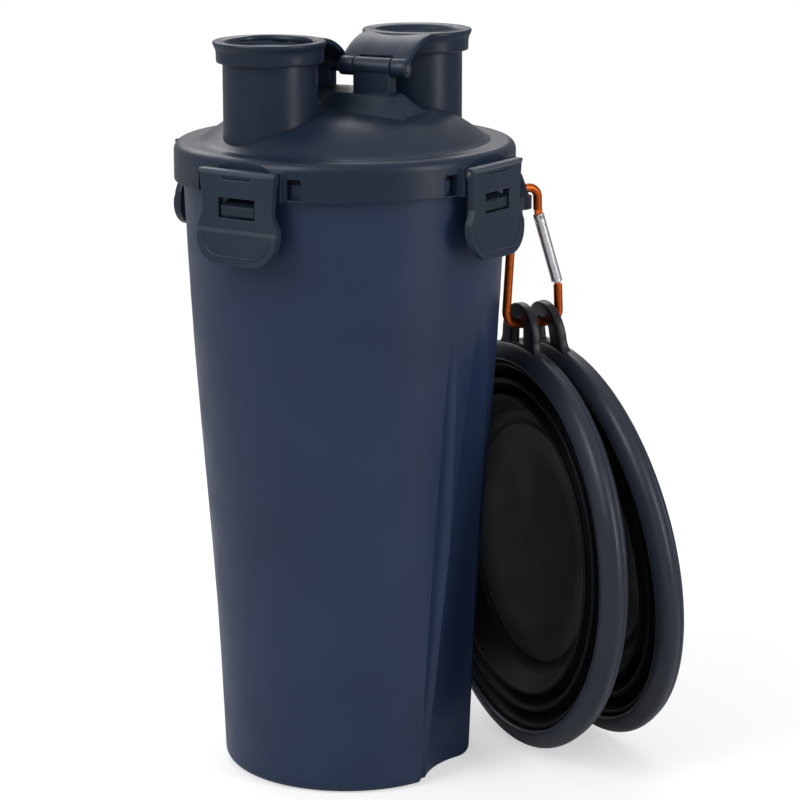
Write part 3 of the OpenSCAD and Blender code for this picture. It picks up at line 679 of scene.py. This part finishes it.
def make_bowl(side, depth, rim_body, band_bodies):
    bowl = Bowl(side, depth)
    rim = bowl.rim()
    tab = bowl.tab()
    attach(rim, rim_body)
    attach(tab, rim_body)
    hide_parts(side + "_bowl_rim")
    walls = [bowl.band("outer_wall", 0), bowl.band("inner_wall", 1), bowl.cup()]
    band_nodes = ["outer_band", "inner_band", "floor"]
    for wall, body, node in zip(walls, band_bodies, band_nodes):
        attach(wall, body)
        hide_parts(side + "_bowl_" + node)
    rim_back = (LIP_IN_R + 0.3, RIM_T - 1.0)
    ends = [(rim_back, bead_of(0)), (narrow_of(0), bead_of(1)), (narrow_of(1), bead_of(2))]
    bodies = [rim_body, *band_bodies]
    for number, (start, end) in enumerate(ends):
        web = bowl.web("web_%d" % (number + 1), start, end)
        if bodies[number] == bodies[number + 1]:
            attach(web, bodies[number])
        else:
            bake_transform(web)


# ---- studio ----


def area_light(name, place, aim, size, power):
    data = bpy.data.lights.new(name, "AREA")
    data.shape = "RECTANGLE"
    data.size, data.size_y = size
    data.energy = power
    lamp = bpy.data.objects.new(name, data)
    lamp.location = place
    from_to = np.array(aim) - np.array(place)
    lamp.rotation_euler = (
        math.atan2(math.hypot(from_to[0], from_to[1]), -from_to[2]),
        0,
        math.atan2(from_to[1], from_to[0]) - math.pi / 2,
    )
    bpy.context.scene.collection.objects.link(lamp)


def make_studio():
    world = bpy.data.worlds.new("studio")
    bpy.context.scene.world = world
    world.use_nodes = True
    tree = Tree(world)
    tree.nodes.clear()
    rays = tree.add("LightPath").outputs
    direction = tree.add("TexCoord").outputs["Generated"]
    parts = tree.add("SeparateXYZ", {0: direction}).outputs
    # walls of the room seen in gloss: paler to the left and overhead, darker low down behind the bottle
    leftward = tree.span(parts["X"], 0.42, 0.22, start=-0.9, end=0.9)
    upward = tree.span(parts["Z"], 0.0, 0.38, start=0.25, end=1.0)
    gloss = tree.maths("ADD", leftward, upward)
    soft = tree.add("Background", {"Color": (0.94, 0.97, 1.0, 1), "Strength": 0.5})
    room = tree.add("Background", {"Color": (1, 1, 1, 1), "Strength": gloss})
    white = tree.add("Background", {"Color": (1, 1, 1, 1), "Strength": 1.0})
    reflected = tree.maths("MAXIMUM", rays["Is Glossy Ray"], rays["Is Transmission Ray"])
    lit = tree.add("MixShader", {0: reflected, 1: soft.outputs[0], 2: room.outputs[0]})
    seen = tree.add("MixShader", {0: rays["Is Camera Ray"], 1: lit.outputs[0], 2: white.outputs[0]})
    tree.add("OutputWorld", {0: seen.outputs[0]})

    aim = (0.01, 0, 0.12)
    area_light("key", (-1.1, -0.9, 1.2), aim, (0.9, 1.2), 15)
    area_light("side", (1.25, -0.75, 0.55), aim, (0.35, 1.1), 9)
    area_light("back", (-0.3, 1.3, 1.1), aim, (1.4, 0.8), 9)

    bpy.ops.mesh.primitive_circle_add(vertices=96, radius=1.6, fill_type="NGON")
    floor = bpy.context.object
    floor.name = "studio_floor"
    material, tree, shader, place = new_material("studio_floor")
    tree.nodes.remove(shader)
    away = tree.add("VectorMath", {0: place}, operation="LENGTH").outputs["Value"]
    fade = tree.span(away, 0.0, 1.0, start=0.25, end=0.9)
    camera_ray = tree.add("LightPath").outputs["Is Camera Ray"]
    pale = tree.add("BsdfDiffuse", {"Color": (0.62, 0.62, 0.63, 1)})
    lift = tree.add("Emission", {"Color": (1, 1, 1, 1), "Strength": tree.maths("MULTIPLY", camera_ray, 0.52)})
    both = tree.add("AddShader", {0: pale.outputs[0], 1: lift.outputs[0]})
    clear = tree.add("BsdfTransparent")
    faded = tree.add("MixShader", {0: fade, 1: both.outputs[0], 2: clear.outputs[0]})
    tree.links.new(faded.outputs[0], tree.nodes["Material Output"].inputs[0])
    floor.data.materials.append(material)


bpy.context.scene.view_settings.view_transform = "Standard"
make_camera()
make_studio()
dress_nodes()
make_cap("food_cap", CAP_TURN)
make_cap("water_cap", CAP_TURN + 180)
make_saddle()
make_clips()
make_bowl("front", joints["front_bowl_swing"]["axis"], "front_bowl", ["front_bowl"] * 3)
make_bowl(
    "back",
    joints["back_bowl_outer_band_slide"]["axis"],
    "back_bowl",
    ["back_bowl_outer", "back_bowl_inner", "back_bowl_floor"],
)
